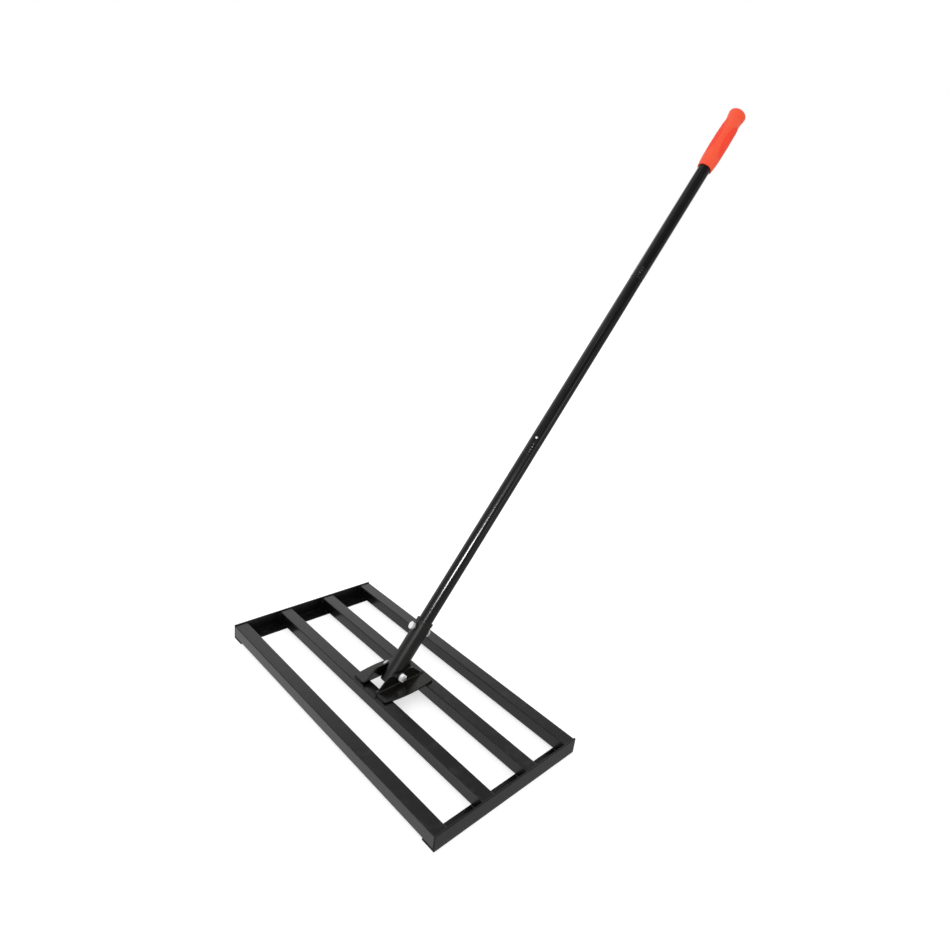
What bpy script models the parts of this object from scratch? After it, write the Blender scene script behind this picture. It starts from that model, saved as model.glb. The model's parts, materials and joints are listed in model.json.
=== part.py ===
"""Lawn leveler: a welded steel drag frame with a hinged, three-piece push handle.

Metres, +Z up. The frame lies on the ground with its long side along X, and the
handle leans towards +Y, to the side where the user stands.
"""
import math

import bmesh
import bpy
from mathutils import Vector

# Drag frame: two angle-iron end rails and four square bars
FRAME_LENGTH = 0.610
FRAME_DEPTH = 0.305
RAIL_HEIGHT = 0.029
RAIL_FLANGE = 0.027
RAIL_WALL = 0.003
RAIL_INNER_RADIUS = 0.0009
RAIL_EDGE_RADIUS = 0.0007
BAR_SIZE = 0.024
BAR_WALL = 0.0015
BAR_CORNER_RADIUS = 0.0018
MIDDLE_BAR_SPACING = 0.0955

# Two bent plates that stand on the middle bars and hold the handle
BRACKET_LENGTH = 0.104
BRACKET_PLATE = 0.003
BRACKET_FOOT = 0.0305
BRACKET_FOOT_BOW = 0.0045
BRACKET_CORNER_RADIUS = 0.003
BRACKET_BEND_RADIUS = 0.003
EAR_HEIGHT = 0.0255
EAR_BASE_LENGTH = 0.092
EAR_TOP_LENGTH = 0.052
EAR_TOP_RADIUS = 0.008
PIVOT_RISE = 0.014

# Handle: a socket on the pivot, three tubes and a moulded grip
HANDLE_TILT = math.radians(53.7)
TUBE_DIAMETER = 0.026
TUBE_WALL = 0.0012
SOCKET_WALL = 0.002
SOCKET_TAIL = 0.022
SOCKET_REACH = 0.104
SOCKET_LIP_HEIGHT = 0.006
SOCKET_LIP_DEPTH = 0.0006
CLAMP_STATION = 0.0853
CLAMP_TURN = math.radians(-14.7)
LOWER_TUBE_STATION = 0.024
LOWER_TUBE_LENGTH = 0.439
MIDDLE_TUBE_LENGTH = 0.419
UPPER_TUBE_LENGTH = 0.425
SPIGOT_LENGTH = 0.060
SPIGOT_SHOULDER = 0.004
GROOVE_COUNT = 4
GROOVE_PITCH = 0.0058
GROOVE_DEPTH = 0.0004
GROOVE_WIDTH = 0.0026
FIRST_GROOVE = 0.0035

# Spring buttons that lock the tubes together
BUTTON_STATION = 0.0357
BUTTON_DIAMETER = 0.0052
BUTTON_RISE = 0.0022
BUTTON_HEAD_DIAMETER = 0.008
BUTTON_HEAD_THICKNESS = 0.0009
LOWER_BUTTON_TURN = math.radians(25)
UPPER_BUTTON_TURN = math.radians(180)
SPRING_WIDTH = 0.007
SPRING_THICKNESS = 0.0005
SPRING_LENGTH = 0.030
SPRING_BEND_RADIUS = 0.002
SPRING_PAD = 0.005

# Moulded grip: distance from its mouth and radius of each named ring, then the domed end
GRIP_MOUTH = (0.0, 0.0150)
GRIP_SHOULDER = (0.012, 0.0163)
GRIP_FINGERS = (0.032, 0.0174)
GRIP_PALM = (0.060, 0.0180)
GRIP_HEEL = (0.104, 0.0171)
GRIP_NECK = (0.1235, 0.0156)
GRIP_BULB = (0.143, 0.0179)
GRIP_DOME_HEIGHT = 0.0143
GRIP_END_WALL = 0.011
GRIP_OVERLAP = 0.142

# Fasteners
BOLT_DIAMETER = 0.008
HEAD_ACROSS_FLATS = 0.013
HEAD_HEIGHT = 0.0053
NUT_HEIGHT = 0.0065
THIN_NUT_HEIGHT = 0.004
WASHER_DIAMETER = 0.017
WASHER_THICKNESS = 0.0016
PIVOT_OVERHANG = 0.003
CLAMP_OVERHANG = 0.0008

# Clearances
SEAT_GAP = 0.0003
BOLT_CLEARANCE = 0.0003
SIDE_CLEARANCE = 0.0005
SOCKET_CLEARANCE = 0.0005
SPIGOT_CLEARANCE = 0.0003
GRIP_CLEARANCE = 0.0003
BUTTON_CLEARANCE = 0.0003

# Fineness of round shapes
ROUND_STEPS = 40
HOLE_STEPS = 24
CORNER_STEPS = 4
BOW_STEPS = 10
GRIP_STEPS = 22
DOME_STEPS = 8
CUT_MARGIN = 0.002
MERGE = 0.00001
SHARP_ANGLE = math.radians(35)

# Heights and places that follow from the sizes above
BAR_LENGTH = FRAME_LENGTH - 2 * (RAIL_WALL + SEAT_GAP)
BAR_BOTTOM = RAIL_WALL + SEAT_GAP
FOOT_BOTTOM = BAR_BOTTOM + BAR_SIZE + SEAT_GAP
PIVOT_HEIGHT = FOOT_BOTTOM + BRACKET_PLATE + PIVOT_RISE
TUBE_RADIUS = TUBE_DIAMETER / 2
TUBE_BORE = TUBE_RADIUS - TUBE_WALL
SPIGOT_RADIUS = TUBE_BORE - SPIGOT_CLEARANCE
SPIGOT_BORE = SPIGOT_RADIUS - TUBE_WALL
SOCKET_BORE = TUBE_RADIUS + SOCKET_CLEARANCE
SOCKET_RADIUS = SOCKET_BORE + SOCKET_WALL
EAR_INSIDE = SOCKET_RADIUS + SIDE_CLEARANCE
EAR_OUTSIDE = EAR_INSIDE + BRACKET_PLATE
MIDDLE_TUBE_STATION = LOWER_TUBE_STATION + LOWER_TUBE_LENGTH + SEAT_GAP
UPPER_TUBE_STATION = MIDDLE_TUBE_STATION + MIDDLE_TUBE_LENGTH + SEAT_GAP
HANDLE_TOP = UPPER_TUBE_STATION + UPPER_TUBE_LENGTH
GRIP_LENGTH = GRIP_BULB[0] + GRIP_DOME_HEIGHT
GRIP_BORE_DEPTH = GRIP_LENGTH - GRIP_END_WALL
GRIP_STATION = HANDLE_TOP - GRIP_OVERLAP
BOLT_RADIUS = BOLT_DIAMETER / 2
BOLT_HOLE_RADIUS = BOLT_RADIUS + BOLT_CLEARANCE


def clear_scene():
    """Remove every object, so that the model starts from nothing."""
    for old in list(bpy.data.objects):
        bpy.data.objects.remove(old, do_unlink=True)


def new_collection(name):
    group = bpy.data.collections.new(name)
    bpy.context.scene.collection.children.link(group)
    return group


def make_material(name, color, roughness, metallic):
    finish = bpy.data.materials.new(name)
    finish.use_nodes = True
    shader = finish.node_tree.nodes["Principled BSDF"]
    shader.inputs["Base Color"].default_value = (*color, 1)
    shader.inputs["Roughness"].default_value = roughness
    shader.inputs["Metallic"].default_value = metallic
    return finish


clear_scene()
PARTS = new_collection("lawn_leveler")
CUTTERS = new_collection("cutters")


def add_object(name, data, parent=None, location=(0, 0, 0), rotation=(0, 0, 0), finish=None):
    """Put mesh data (or an empty) into the model under its parent."""
    piece = bpy.data.objects.new(name, data)
    PARTS.objects.link(piece)
    piece.parent = parent
    piece.location = location
    piece.rotation_euler = rotation
    if finish:
        data.materials.append(finish)
    return piece


def add_cutter(name, data, host, location=(0, 0, 0), rotation=(0, 0, 0)):
    """A tool shape that follows the piece it cuts and isn't part of the model."""
    cutter = bpy.data.objects.new(name, data)
    CUTTERS.objects.link(cutter)
    cutter.parent = host
    cutter.location = location
    cutter.rotation_euler = rotation
    cutter.hide_render = True
    cutter.display_type = "WIRE"
    return cutter


def boolean(piece, cutter, operation):
    change = piece.modifiers.new(cutter.name, "BOOLEAN")
    change.operation = operation
    change.object = cutter
    change.solver = "EXACT"


def circle(radius, steps=ROUND_STEPS):
    """Closed outline of a round shape."""
    turns = [2 * math.pi * i / steps for i in range(steps)]
    return [(radius * math.cos(a), radius * math.sin(a)) for a in turns]


def hexagon(across_flats):
    corner = across_flats / 2 / math.cos(math.pi / 6)
    return circle(corner, 6)


def bow(start, end, height, steps=BOW_STEPS):
    """Points of a shallow arc from start to end that stands out by height."""
    start, end = Vector(start), Vector(end)
    chord = end - start
    side = Vector((chord.y, -chord.x)).normalized()
    points = []
    for i in range(steps + 1):
        share = i / steps
        points.append(tuple(start + chord * share + side * height * 4 * share * (1 - share)))
    return points


def rounded(corners):
    """Closed outline of (x, y, radius) corners, each turned into an arc."""
    points = []
    for i, (x, y, radius) in enumerate(corners):
        here = Vector((x, y))
        if radius == 0:
            points.append((x, y))
            continue
        before = (Vector(corners[i - 1][:2]) - here).normalized()
        after = (Vector(corners[(i + 1) % len(corners)][:2]) - here).normalized()
        half = before.angle(after) / 2
        centre = here + (before + after).normalized() * radius / math.sin(half)
        first = here + before * radius / math.tan(half) - centre
        sweep = first.angle_signed(here + after * radius / math.tan(half) - centre)
        for k in range(CORNER_STEPS + 1):
            turn = -sweep * k / CORNER_STEPS
            spoke = Vector((first.x * math.cos(turn) - first.y * math.sin(turn),
                            first.x * math.sin(turn) + first.y * math.cos(turn)))
            points.append(tuple(centre + spoke))
    return points


def read_mesh(name, source):
    """Welded mesh of an object as its modifiers leave it; the object itself goes."""
    graph = bpy.context.evaluated_depsgraph_get()
    mesh = bpy.data.meshes.new_from_object(source.evaluated_get(graph))
    bpy.data.objects.remove(source, do_unlink=True)
    body = bmesh.new()
    body.from_mesh(mesh)
    bmesh.ops.remove_doubles(body, verts=body.verts, dist=MERGE)
    body.to_mesh(mesh)
    body.free()
    mesh.name = name
    mesh.shade_smooth()
    mesh.set_sharp_from_angle(angle=SHARP_ANGLE)
    return mesh


def extruded(name, outlines, thickness):
    """Mesh of flat outlines, the first one solid and the rest holes, centred on its thickness."""
    flat = bpy.data.curves.new(name, "CURVE")
    flat.dimensions = "2D"
    flat.fill_mode = "BOTH"
    flat.extrude = thickness / 2
    for outline in outlines:
        line = flat.splines.new("POLY")
        line.points.add(len(outline) - 1)
        for point, (x, y) in zip(line.points, outline):
            point.co = (x, y, 0, 1)
        line.use_cyclic_u = True
    holder = bpy.data.objects.new(name, flat)
    PARTS.objects.link(holder)
    return read_mesh(name, holder)


def rod(name, radius, length, steps=HOLE_STEPS):
    """Mesh of a round bar along Z, centred on its length."""
    body = bmesh.new()
    bmesh.ops.create_cone(body, cap_ends=True, segments=steps, radius1=radius, radius2=radius, depth=length)
    mesh = bpy.data.meshes.new(name)
    body.to_mesh(mesh)
    body.free()
    mesh.shade_smooth()
    mesh.set_sharp_from_angle(angle=SHARP_ANGLE)
    return mesh


def turned(name, profile, closed, steps=ROUND_STEPS):
    """Mesh turned round Z from (radius, height) points that run down its outer side."""
    count = len(profile)
    edges = [(i, i + 1) for i in range(count - 1)]
    if closed:
        edges.append((count - 1, 0))
    half = bpy.data.meshes.new(name)
    half.from_pydata([(r, 0, z) for r, z in profile], edges, [])
    holder = bpy.data.objects.new(name, half)
    PARTS.objects.link(holder)
    screw = holder.modifiers.new("turn", "SCREW")
    screw.steps = steps
    screw.render_steps = steps
    screw.use_merge_vertices = True
    screw.merge_threshold = MERGE
    return read_mesh(name, holder)


def drill(piece, name, radius, depth, location, rotation):
    """Round hole through the piece, depth long and centred on location."""
    cutter = add_cutter(name, rod(name, radius, depth), piece, location, rotation)
    boolean(piece, cutter, "DIFFERENCE")


def side_of_tube(turn_angle, radius, station):
    """Point beside the handle axis; a turn of 0 faces up from the leaning handle."""
    return (radius * math.sin(turn_angle), -radius * math.cos(turn_angle), station)


BLACK_COAT = make_material("black_powder_coat", (0.022, 0.022, 0.024), 0.42, 0.0)
GLOSS_COAT = make_material("black_gloss_enamel", (0.012, 0.012, 0.013), 0.22, 0.0)
ZINC = make_material("bright_zinc", (0.78, 0.79, 0.80), 0.28, 1.0)
SPRING_STEEL = make_material("spring_steel", (0.45, 0.46, 0.48), 0.35, 1.0)
ORANGE = make_material("orange_red_rubber", (0.93, 0.11, 0.035), 0.5, 0.0)

ALONG_X = (0, math.pi / 2, 0)
CLAMP_AXIS = (-math.pi / 2, 0, CLAMP_TURN)


def grip_radius(distance):
    """Radius of the grip at a distance from its mouth: a smooth curve through its named rings."""
    rings = [GRIP_MOUTH, GRIP_SHOULDER, GRIP_FINGERS, GRIP_PALM, GRIP_HEEL, GRIP_NECK, GRIP_BULB]
    slopes = [0.0] * len(rings)
    for i in range(1, len(rings) - 1):
        below = (rings[i][1] - rings[i - 1][1]) / (rings[i][0] - rings[i - 1][0])
        above = (rings[i + 1][1] - rings[i][1]) / (rings[i + 1][0] - rings[i][0])
        slopes[i] = (below + above) / 2 if below * above > 0 else 0.0
    slopes[0] = (rings[1][1] - rings[0][1]) / (rings[1][0] - rings[0][0])
    for i in range(len(rings) - 1):
        start, low = rings[i]
        end, high = rings[i + 1]
        if distance <= end:
            break
    span = end - start
    t = (distance - start) / span
    return ((1 + 2 * t) * (1 - t) ** 2 * low + t * (1 - t) ** 2 * span * slopes[i]
            + t ** 2 * (3 - 2 * t) * high + t ** 2 * (t - 1) * span * slopes[i + 1])


def grip_profile():
    """Half section of the grip, from the tip down the outside and up its blind bore."""
    bulb_station, bulb_radius = GRIP_BULB
    distances = [bulb_station * i / GRIP_STEPS for i in range(GRIP_STEPS + 1)]
    shaft = [(grip_radius(z), z) for z in distances]
    angles = [math.pi / 2 * i / DOME_STEPS for i in range(1, DOME_STEPS)]
    dome = [(bulb_radius * math.cos(a), bulb_station + GRIP_DOME_HEIGHT * math.sin(a)) for a in angles]
    outside = shaft + dome + [(0, GRIP_LENGTH)]
    bore = TUBE_RADIUS + GRIP_CLEARANCE
    return outside[::-1] + [(bore, 0), (bore, GRIP_BORE_DEPTH), (0, GRIP_BORE_DEPTH)]


def frame_offset():
    """Y of the middle of the whole tool's footprint, counted from the frame's centre."""
    reach = max((GRIP_STATION + z) * math.cos(HANDLE_TILT) + r * math.sin(HANDLE_TILT)
                for r, z in grip_profile())
    return (reach - FRAME_DEPTH / 2) / 2


FRAME = add_object("frame_centre", None, location=(0, -frame_offset(), 0))
HANDLE_PIVOT = add_object("handle_pivot", None, FRAME, (0, 0, PIVOT_HEIGHT),
                          (HANDLE_TILT - math.pi / 2, 0, 0))


def build_rails():
    """Angle iron, leg outwards and flange inwards under the bars' ends."""
    edge = RAIL_EDGE_RADIUS
    section = rounded([(0, 0, edge), (0, RAIL_HEIGHT, edge), (-RAIL_WALL, RAIL_HEIGHT, edge),
                       (-RAIL_WALL, RAIL_WALL, RAIL_INNER_RADIUS), (-RAIL_FLANGE, RAIL_WALL, edge),
                       (-RAIL_FLANGE, 0, edge)])
    mesh = extruded("end_rail", [section], FRAME_DEPTH)
    mesh.materials.append(BLACK_COAT)
    add_object("end_rail_right", mesh, FRAME, (FRAME_LENGTH / 2, 0, 0), (math.pi / 2, 0, 0))
    add_object("end_rail_left", mesh, FRAME, (-FRAME_LENGTH / 2, 0, 0), (math.pi / 2, 0, math.pi))


def square(size, radius):
    half = size / 2
    return rounded([(-half, -half, radius), (half, -half, radius),
                    (half, half, radius), (-half, half, radius)])


def build_bars():
    """Square tubes between the rails' legs; the outer pair is flush with the rails' ends."""
    wall_inside = BAR_SIZE - 2 * BAR_WALL
    section = [square(BAR_SIZE, BAR_CORNER_RADIUS), square(wall_inside, BAR_CORNER_RADIUS - BAR_WALL)]
    mesh = extruded("long_bar", section, BAR_LENGTH)
    mesh.materials.append(BLACK_COAT)
    outer = (FRAME_DEPTH - BAR_SIZE) / 2
    inner = MIDDLE_BAR_SPACING / 2
    for number, y in enumerate((-outer, -inner, inner, outer), start=1):
        add_object(f"long_bar_{number}", mesh, FRAME, (0, y, BAR_BOTTOM + BAR_SIZE / 2),
                   (math.pi / 2, 0, math.pi / 2))


def bracket_section():
    """Section of the bent plate: ear up, foot out."""
    outer_bend = BRACKET_BEND_RADIUS + BRACKET_PLATE
    foot_edge = EAR_INSIDE + BRACKET_FOOT + BRACKET_FOOT_BOW + CUT_MARGIN
    return rounded([(EAR_INSIDE, EAR_HEIGHT + CUT_MARGIN, 0), (EAR_INSIDE, 0, outer_bend), (foot_edge, 0, 0),
                    (foot_edge, BRACKET_PLATE, 0), (EAR_OUTSIDE, BRACKET_PLATE, BRACKET_BEND_RADIUS),
                    (EAR_OUTSIDE, EAR_HEIGHT + CUT_MARGIN, 0)])


def foot_outline():
    """Plan of the bracket: straight at the handle, bowed at the foot's far edge."""
    half = BRACKET_LENGTH / 2
    edge = EAR_INSIDE + BRACKET_FOOT
    corner = BRACKET_CORNER_RADIUS
    bowed = bow((edge, -half + corner), (edge, half - corner), BRACKET_FOOT_BOW)
    ends = rounded([(0, half, 0), (0, -half, 0), (edge, -half, corner), (edge, half, corner)])
    return ends[:2 + CORNER_STEPS] + bowed + ends[4 + CORNER_STEPS:]


def ear_outline():
    """Side view of the bracket, in Y and Z: full length at the foot, sloped ears above the bend."""
    half, base, top = BRACKET_LENGTH / 2 + CUT_MARGIN, EAR_BASE_LENGTH / 2, EAR_TOP_LENGTH / 2
    bend_top = BRACKET_PLATE + BRACKET_BEND_RADIUS
    return rounded([(-half, -CUT_MARGIN, 0), (half, -CUT_MARGIN, 0), (half, bend_top, 0), (base, bend_top, 0),
                    (top, EAR_HEIGHT, EAR_TOP_RADIUS), (-top, EAR_HEIGHT, EAR_TOP_RADIUS),
                    (-base, bend_top, 0), (-half, bend_top, 0)])


def build_brackets():
    """The same bent plate twice, turned half a turn for the left side."""
    reach = EAR_INSIDE + BRACKET_FOOT + BRACKET_FOOT_BOW + 2 * CUT_MARGIN
    for name, facing in (("handle_bracket_right", 0), ("handle_bracket_left", math.pi)):
        mesh = extruded(name, [bracket_section()], BRACKET_LENGTH + 2 * CUT_MARGIN)
        mesh.shade_flat()
        plate = add_object(name, mesh, FRAME, (0, 0, FOOT_BOTTOM), (math.pi / 2, 0, facing), BLACK_COAT)
        plan = add_cutter(f"{name}_plan", extruded("plan", [foot_outline()], 3 * EAR_HEIGHT), plate,
                          rotation=(-math.pi / 2, 0, 0))
        side = add_cutter(f"{name}_side", extruded("side", [ear_outline()], 2 * reach), plate,
                          rotation=(0, -math.pi / 2, 0))
        boolean(plate, plan, "INTERSECT")
        boolean(plate, side, "INTERSECT")
        drill(plate, f"{name}_bolt_hole", BOLT_HOLE_RADIUS, 4 * EAR_OUTSIDE,
              (0, BRACKET_PLATE + PIVOT_RISE, 0), ALONG_X)


def add_washer(name, holder, seat):
    """Washer around the holder's axis, with its middle at the given height."""
    outlines = [circle(WASHER_DIAMETER / 2), circle(BOLT_RADIUS + SEAT_GAP, HOLE_STEPS)]
    add_object(name, extruded(name, outlines, WASHER_THICKNESS), holder, (0, 0, seat), finish=ZINC)


def add_nut(name, holder, seat, height):
    outlines = [hexagon(HEAD_ACROSS_FLATS), circle(BOLT_RADIUS + SEAT_GAP, HOLE_STEPS)]
    add_object(name, extruded(name, outlines, height), holder, (0, 0, seat + height / 2), finish=ZINC)


def add_bolt(name, holder, seat, end):
    """Hexagon bolt along the holder's axis: head below its seat, shank up to the end."""
    head = extruded(name, [hexagon(HEAD_ACROSS_FLATS)], HEAD_HEIGHT)
    bolt = add_object(name, head, holder, (0, 0, seat - HEAD_HEIGHT / 2), finish=ZINC)
    length = end - bolt.location.z
    shank = add_cutter(f"{name}_shank", rod(name, BOLT_RADIUS, length), bolt, (0, 0, length / 2))
    boolean(bolt, shank, "UNION")


def build_pivot_bolt():
    """Bolt across both ears and the socket, with a washer at each side."""
    holder = add_object("pivot_axis", None, FRAME, (0, 0, PIVOT_HEIGHT), ALONG_X)
    washer_middle = EAR_OUTSIDE + SEAT_GAP + WASHER_THICKNESS / 2
    seat = EAR_OUTSIDE + WASHER_THICKNESS + 2 * SEAT_GAP
    add_bolt("pivot_bolt", holder, -seat, seat + NUT_HEIGHT + PIVOT_OVERHANG)
    add_washer("pivot_head_washer", holder, -washer_middle)
    add_washer("pivot_nut_washer", holder, washer_middle)
    add_nut("pivot_nut", holder, seat, NUT_HEIGHT)


def build_clamp_bolt():
    """Bolt through socket and tube, head on the upper side and a thin nut underneath."""
    holder = add_object("clamp_axis", None, HANDLE_PIVOT, (0, 0, CLAMP_STATION), CLAMP_AXIS)
    washer_middle = SOCKET_RADIUS + SEAT_GAP + WASHER_THICKNESS / 2
    head_seat = SOCKET_RADIUS + WASHER_THICKNESS + 2 * SEAT_GAP
    nut_seat = SOCKET_RADIUS + SEAT_GAP
    add_bolt("clamp_bolt", holder, -head_seat, nut_seat + THIN_NUT_HEIGHT + CLAMP_OVERHANG)
    add_washer("clamp_washer", holder, -washer_middle)
    add_nut("clamp_nut", holder, nut_seat, THIN_NUT_HEIGHT)


def build_socket():
    """Short thick tube on the pivot bolt; the handle is pushed into it and bolted."""
    lip = SOCKET_RADIUS + SOCKET_LIP_DEPTH
    lip_foot = SOCKET_REACH - SOCKET_LIP_HEIGHT
    chamfer = SOCKET_LIP_DEPTH
    profile = [(SOCKET_BORE, SOCKET_REACH), (lip - chamfer, SOCKET_REACH), (lip, SOCKET_REACH - chamfer),
               (lip, lip_foot), (SOCKET_RADIUS, lip_foot - 2 * chamfer), (SOCKET_RADIUS, -SOCKET_TAIL),
               (SOCKET_BORE, -SOCKET_TAIL)]
    mesh = turned("handle_socket", profile, True)
    socket = add_object("handle_socket", mesh, HANDLE_PIVOT, finish=BLACK_COAT)
    across = 4 * SOCKET_RADIUS
    drill(socket, "socket_pivot_hole", BOLT_HOLE_RADIUS, across, (0, 0, 0), ALONG_X)
    drill(socket, "socket_clamp_hole", BOLT_HOLE_RADIUS, across, (0, 0, CLAMP_STATION), CLAMP_AXIS)


def groove_points():
    """Rolled rings at a tube's lower end, from the highest down."""
    points = []
    for number in reversed(range(GROOVE_COUNT)):
        middle = FIRST_GROOVE + number * GROOVE_PITCH
        points += [(TUBE_RADIUS, middle + GROOVE_WIDTH / 2),
                   (TUBE_RADIUS - GROOVE_DEPTH, middle + GROOVE_WIDTH / 6),
                   (TUBE_RADIUS - GROOVE_DEPTH, middle - GROOVE_WIDTH / 6),
                   (TUBE_RADIUS, middle - GROOVE_WIDTH / 2)]
    return points


def tube_profile(length, has_grooves, has_spigot):
    """Half section of one handle tube, counted from its lower end."""
    spigot_top = length + SPIGOT_LENGTH
    if has_spigot:
        shoulder = length - SPIGOT_SHOULDER
        outside = [(SPIGOT_RADIUS, spigot_top), (SPIGOT_RADIUS, length), (TUBE_RADIUS, length - TUBE_WALL)]
        inside = [(TUBE_BORE, shoulder - SPIGOT_SHOULDER), (SPIGOT_BORE, shoulder), (SPIGOT_BORE, spigot_top)]
    else:
        outside = [(TUBE_RADIUS, length)]
        inside = [(TUBE_BORE, length)]
    grooves = groove_points() if has_grooves else []
    return outside + grooves + [(TUBE_RADIUS, 0), (TUBE_BORE, 0)] + inside


def add_tube(name, station, profile):
    return add_object(name, turned(name, profile, True), HANDLE_PIVOT, (0, 0, station), finish=GLOSS_COAT)


def button_hole(tube, name, turn_angle, station):
    """Hole through one wall of a tube for a spring button."""
    drill(tube, name, BUTTON_DIAMETER / 2 + BUTTON_CLEARANCE, TUBE_DIAMETER,
          side_of_tube(turn_angle, TUBE_RADIUS, station), (math.pi / 2, 0, turn_angle))


def build_tubes():
    """Three steel tubes; each upper one sleeves over the reduced end of the one below."""
    lower = add_tube("handle_tube_lower", LOWER_TUBE_STATION, tube_profile(LOWER_TUBE_LENGTH, False, True))
    drill(lower, "lower_tube_clamp_hole", BOLT_HOLE_RADIUS, 2 * TUBE_DIAMETER,
          (0, 0, CLAMP_STATION - LOWER_TUBE_STATION), CLAMP_AXIS)
    button_hole(lower, "lower_spigot_button_hole", LOWER_BUTTON_TURN,
                LOWER_TUBE_LENGTH + SEAT_GAP + BUTTON_STATION)
    middle = add_tube("handle_tube_middle", MIDDLE_TUBE_STATION, tube_profile(MIDDLE_TUBE_LENGTH, True, True))
    button_hole(middle, "middle_tube_button_hole", LOWER_BUTTON_TURN, BUTTON_STATION)
    button_hole(middle, "middle_spigot_button_hole", UPPER_BUTTON_TURN,
                MIDDLE_TUBE_LENGTH + SEAT_GAP + BUTTON_STATION)
    upper = add_tube("handle_tube_upper", UPPER_TUBE_STATION, tube_profile(UPPER_TUBE_LENGTH, True, False))
    button_hole(upper, "upper_tube_button_hole", UPPER_BUTTON_TURN, BUTTON_STATION)


def chord_height(width):
    """Distance from the tube's axis of a flat piece that is width wide and seats in the spigot's bore."""
    return math.sqrt((SPIGOT_BORE - SEAT_GAP) ** 2 - (width / 2) ** 2)


def button_profile():
    """Half section of a button: domed pin outside, wider head that stops it inside the bore."""
    top = TUBE_RADIUS + BUTTON_RISE
    seat = chord_height(BUTTON_HEAD_DIAMETER)
    radius = BUTTON_DIAMETER / 2
    dome = [(radius * math.sin(a), top - radius * (1 - math.cos(a)) * 0.6)
            for a in (math.pi / 2 * i / 6 for i in range(7))]
    head = BUTTON_HEAD_DIAMETER / 2
    return dome + [(radius, seat), (head, seat), (head, seat - BUTTON_HEAD_THICKNESS),
                   (0, seat - BUTTON_HEAD_THICKNESS)]


def spring_path():
    """Centre line of the V spring, from its pad under the button round the bend to its free leg."""
    pad = chord_height(BUTTON_HEAD_DIAMETER) - BUTTON_HEAD_THICKNESS - SEAT_GAP - SPRING_THICKNESS / 2
    free = -(chord_height(SPRING_WIDTH) - SPRING_THICKNESS / 2)
    bend = -SPRING_LENGTH
    turns = [math.pi / 2 + math.pi * i / 8 for i in range(9)]
    arc = [(bend + SPRING_BEND_RADIUS * math.cos(a), SPRING_BEND_RADIUS * math.sin(a)) for a in turns]
    pressed_leg = [(SPRING_PAD / 2, pad), (-SPRING_PAD / 2, pad)]
    free_leg = [(-SPRING_PAD / 2, free), (SPRING_PAD / 2, free)]
    return pressed_leg + arc + free_leg


def build_button(prefix, turn_angle, station):
    """Button and the bent strip that pushes it out, both inside one joint."""
    outwards = (math.pi / 2, 0, turn_angle)
    mesh = turned(f"{prefix}_snap_button", button_profile(), False, HOLE_STEPS)
    add_object(f"{prefix}_snap_button", mesh, HANDLE_PIVOT, (0, 0, station), outwards, ZINC)
    strip = bpy.data.curves.new(f"{prefix}_button_spring", "CURVE")
    strip.dimensions = "2D"
    strip.extrude = SPRING_WIDTH / 2
    path = spring_path()
    line = strip.splines.new("POLY")
    line.points.add(len(path) - 1)
    for point, (along, out) in zip(line.points, path):
        point.co = (along, out, 0, 1)
    spring = add_object(f"{prefix}_button_spring", strip, HANDLE_PIVOT, (0, 0, station),
                        (0, -math.pi / 2, turn_angle - math.pi / 2), SPRING_STEEL)
    wall = spring.modifiers.new("strip", "SOLIDIFY")
    wall.thickness = SPRING_THICKNESS
    wall.offset = 0
    wall.use_even_offset = True


def build_grip():
    mesh = turned("grip", grip_profile(), False)
    add_object("grip", mesh, HANDLE_PIVOT, (0, 0, GRIP_STATION), finish=ORANGE)


build_rails()
build_bars()
build_brackets()
build_pivot_bolt()
build_socket()
build_clamp_bolt()
build_tubes()
build_button("lower", LOWER_BUTTON_TURN, MIDDLE_TUBE_STATION + BUTTON_STATION)
build_button("upper", UPPER_BUTTON_TURN, UPPER_TUBE_STATION + BUTTON_STATION)
build_grip()
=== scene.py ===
import json
import math

import bmesh
import bpy
from mathutils import Matrix, Vector

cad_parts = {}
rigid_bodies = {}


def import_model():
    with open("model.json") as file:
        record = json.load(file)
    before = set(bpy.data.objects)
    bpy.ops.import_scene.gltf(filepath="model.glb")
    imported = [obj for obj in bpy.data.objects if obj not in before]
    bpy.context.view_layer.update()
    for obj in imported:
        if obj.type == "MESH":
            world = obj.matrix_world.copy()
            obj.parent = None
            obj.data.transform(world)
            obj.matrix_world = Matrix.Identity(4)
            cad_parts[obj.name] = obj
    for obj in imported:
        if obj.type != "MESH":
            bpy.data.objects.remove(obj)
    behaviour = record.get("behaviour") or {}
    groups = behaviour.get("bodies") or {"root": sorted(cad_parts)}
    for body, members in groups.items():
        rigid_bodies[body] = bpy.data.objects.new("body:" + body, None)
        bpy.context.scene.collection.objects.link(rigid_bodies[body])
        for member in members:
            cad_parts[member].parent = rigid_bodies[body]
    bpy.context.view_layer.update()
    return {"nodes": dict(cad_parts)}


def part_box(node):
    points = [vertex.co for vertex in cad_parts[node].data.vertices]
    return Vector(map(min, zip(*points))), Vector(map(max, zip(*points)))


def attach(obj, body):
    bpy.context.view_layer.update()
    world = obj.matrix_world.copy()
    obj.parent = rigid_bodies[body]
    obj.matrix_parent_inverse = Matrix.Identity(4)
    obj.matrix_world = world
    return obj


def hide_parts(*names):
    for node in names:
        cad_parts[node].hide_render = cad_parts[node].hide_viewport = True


for stray in list(bpy.data.objects):
    bpy.data.objects.remove(stray, do_unlink=True)
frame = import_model()


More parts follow.
